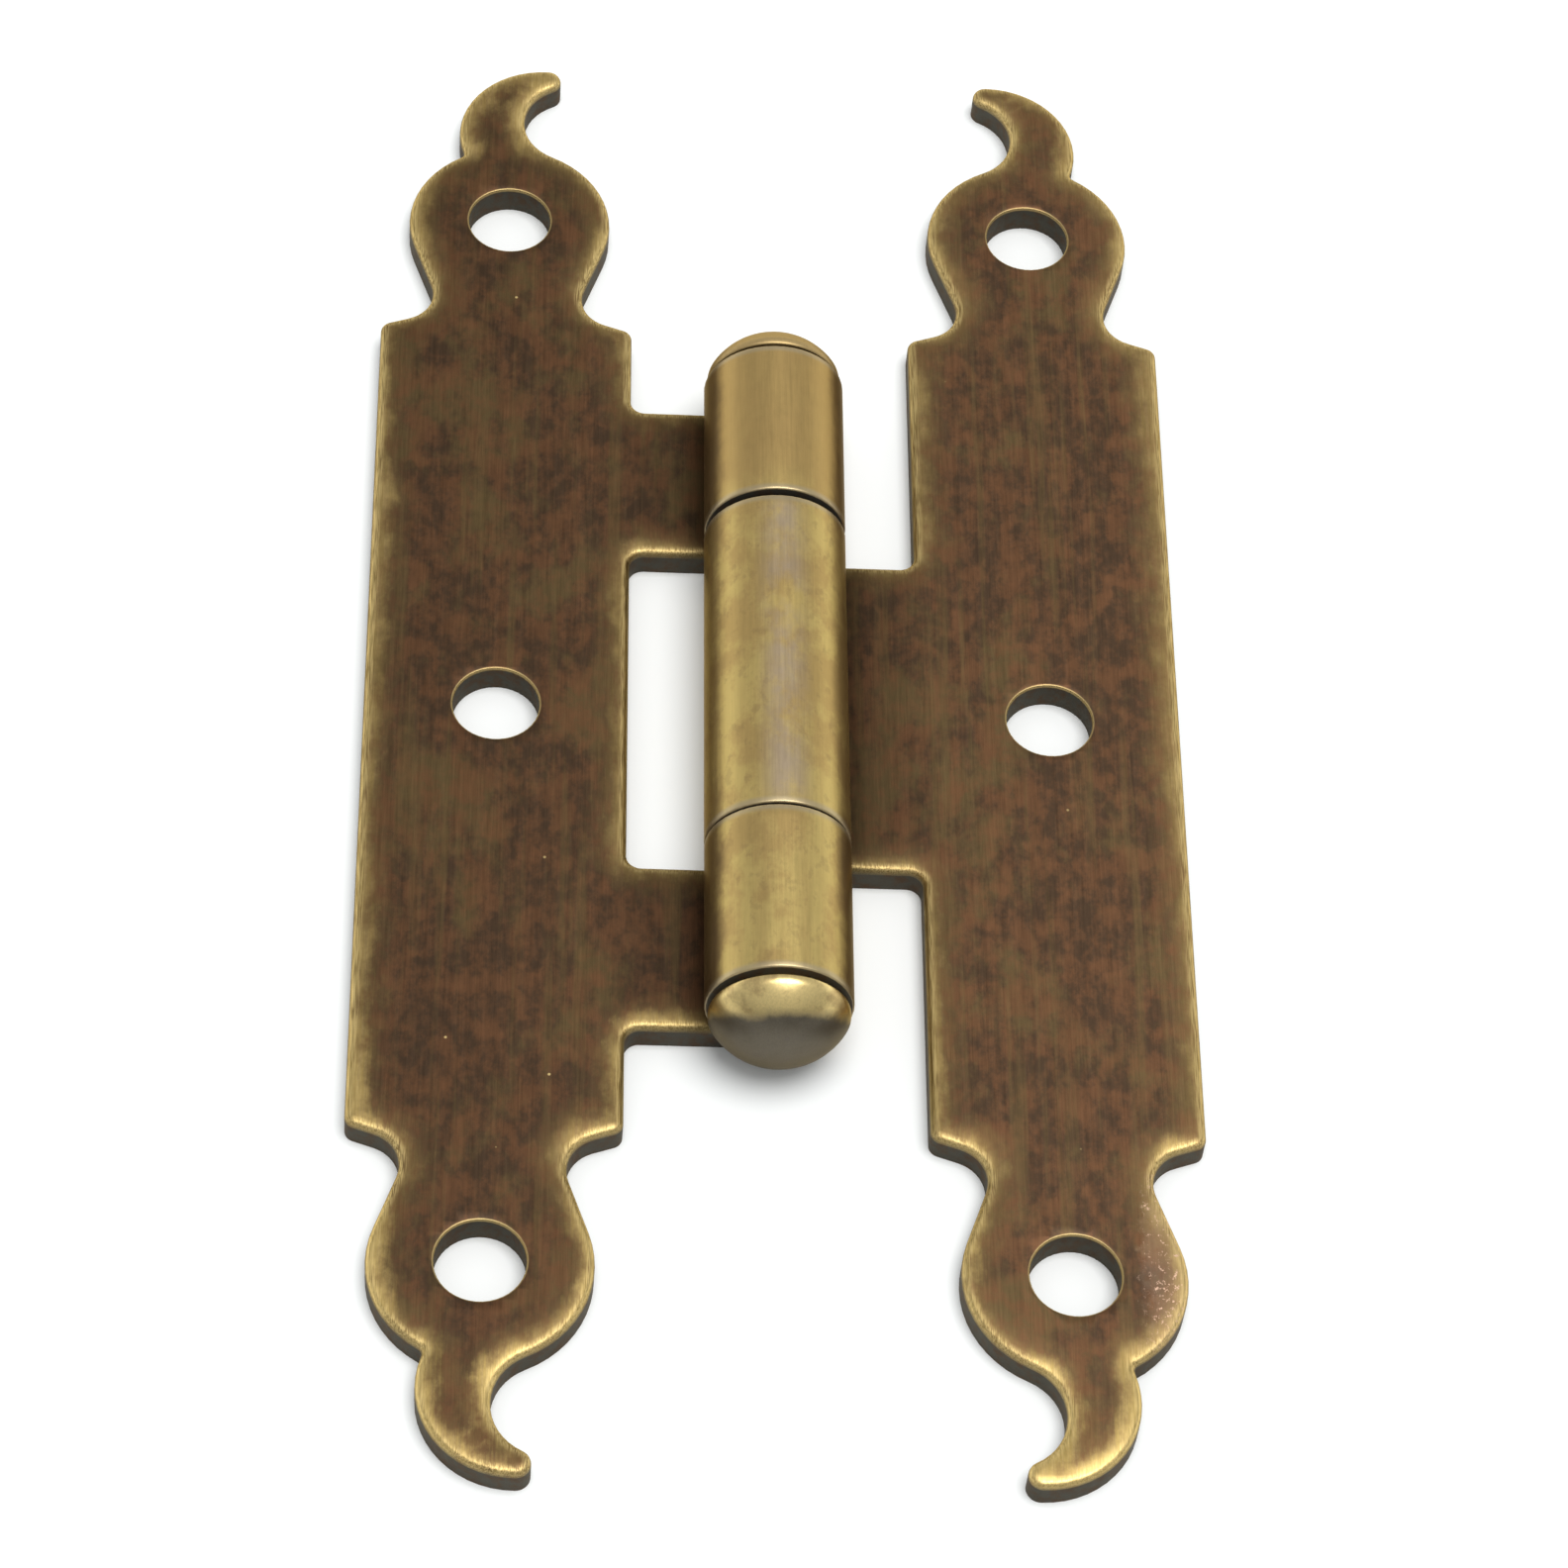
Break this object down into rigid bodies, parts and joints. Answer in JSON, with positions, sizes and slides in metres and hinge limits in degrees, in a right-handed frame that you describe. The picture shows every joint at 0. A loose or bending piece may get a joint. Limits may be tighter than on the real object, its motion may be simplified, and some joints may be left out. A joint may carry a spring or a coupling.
{
  "type": "surface hinge",
  "caption": "Surface-mount H hinge: profiled leaves with rolled knuckles on a pin with domed caps, folding face to face.",
  "frame": {"origin": "on the mounting plane, below the pin axis, at mid length", "axes": "+Z out of the front faces, Y along the pin axis, +X towards the right leaf"},
  "size_m": [0.0376, 0.0794, 0.0066],
  "materials": {
    "leaf": "antiqued, brushed along the pin, worn at the edges",
    "pin": "bright drawn wire",
    "cap": "antiqued, satin"
  },
  "bodies": {
    "frame_leaf": {"left_leaf": "leaf", "hinge_pin": "pin", "upper_cap": "cap", "lower_cap": "cap"},
    "door_leaf": {"right_leaf": "leaf"}
  },
  "joints": [
    {"name": "leaf_swing", "type": "hinge", "parent": "frame_leaf", "child": "door_leaf", "pos_m": [0, 0, 0.0033], "axis": [0, -1, 0], "range_deg": [0, 180]}
  ]
}
